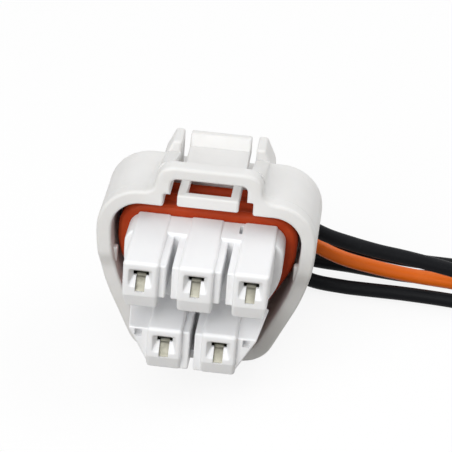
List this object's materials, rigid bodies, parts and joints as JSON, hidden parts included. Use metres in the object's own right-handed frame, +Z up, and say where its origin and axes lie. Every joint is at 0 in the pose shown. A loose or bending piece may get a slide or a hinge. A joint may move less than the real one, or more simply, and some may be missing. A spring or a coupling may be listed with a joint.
{
  "type": "wiring connector",
  "caption": "Sealed automotive wiring connector: staggered contact towers and a ring seal inside a rounded hood, with a lock arm under a bridge and loose leads from the back.",
  "frame": {"origin": "under the middle of the connector without its leads, on the surface that it stands on", "axes": "+X across the mating face to the side that the leads run to, +Y from the mating face to the leads, +Z up towards the lock arm"},
  "size_m": [0.086, 0.0443, 0.0281],
  "materials": {
    "housing_white": "satin moulded",
    "holder_white": "satin moulded",
    "seal_silicone": "soft satin",
    "wire_seal_silicone": "soft satin",
    "terminal_tin": "tin plated",
    "conductor_copper": "bare strands",
    "wire_black": "satin extruded",
    "wire_orange": "satin extruded"
  },
  "bodies": {
    "root": {"housing": "housing_white", "front_holder": "holder_white", "ring_seal": "seal_silicone", "terminal_1": "terminal_tin", "terminal_2": "terminal_tin", "terminal_3": "terminal_tin", "terminal_4": "terminal_tin", "terminal_5": "terminal_tin", "wire_seal_1": "wire_seal_silicone", "wire_seal_2": "wire_seal_silicone", "wire_seal_3": "wire_seal_silicone", "wire_seal_4": "wire_seal_silicone", "wire_seal_5": "wire_seal_silicone", "conductor_1": "conductor_copper", "conductor_2": "conductor_copper", "conductor_3": "conductor_copper", "conductor_4": "conductor_copper", "conductor_5": "conductor_copper", "wire_1": "wire_black", "wire_2": "wire_orange", "wire_3": "wire_black", "wire_4": "wire_black", "wire_5": "wire_black"}
  },
  "joints": []
}
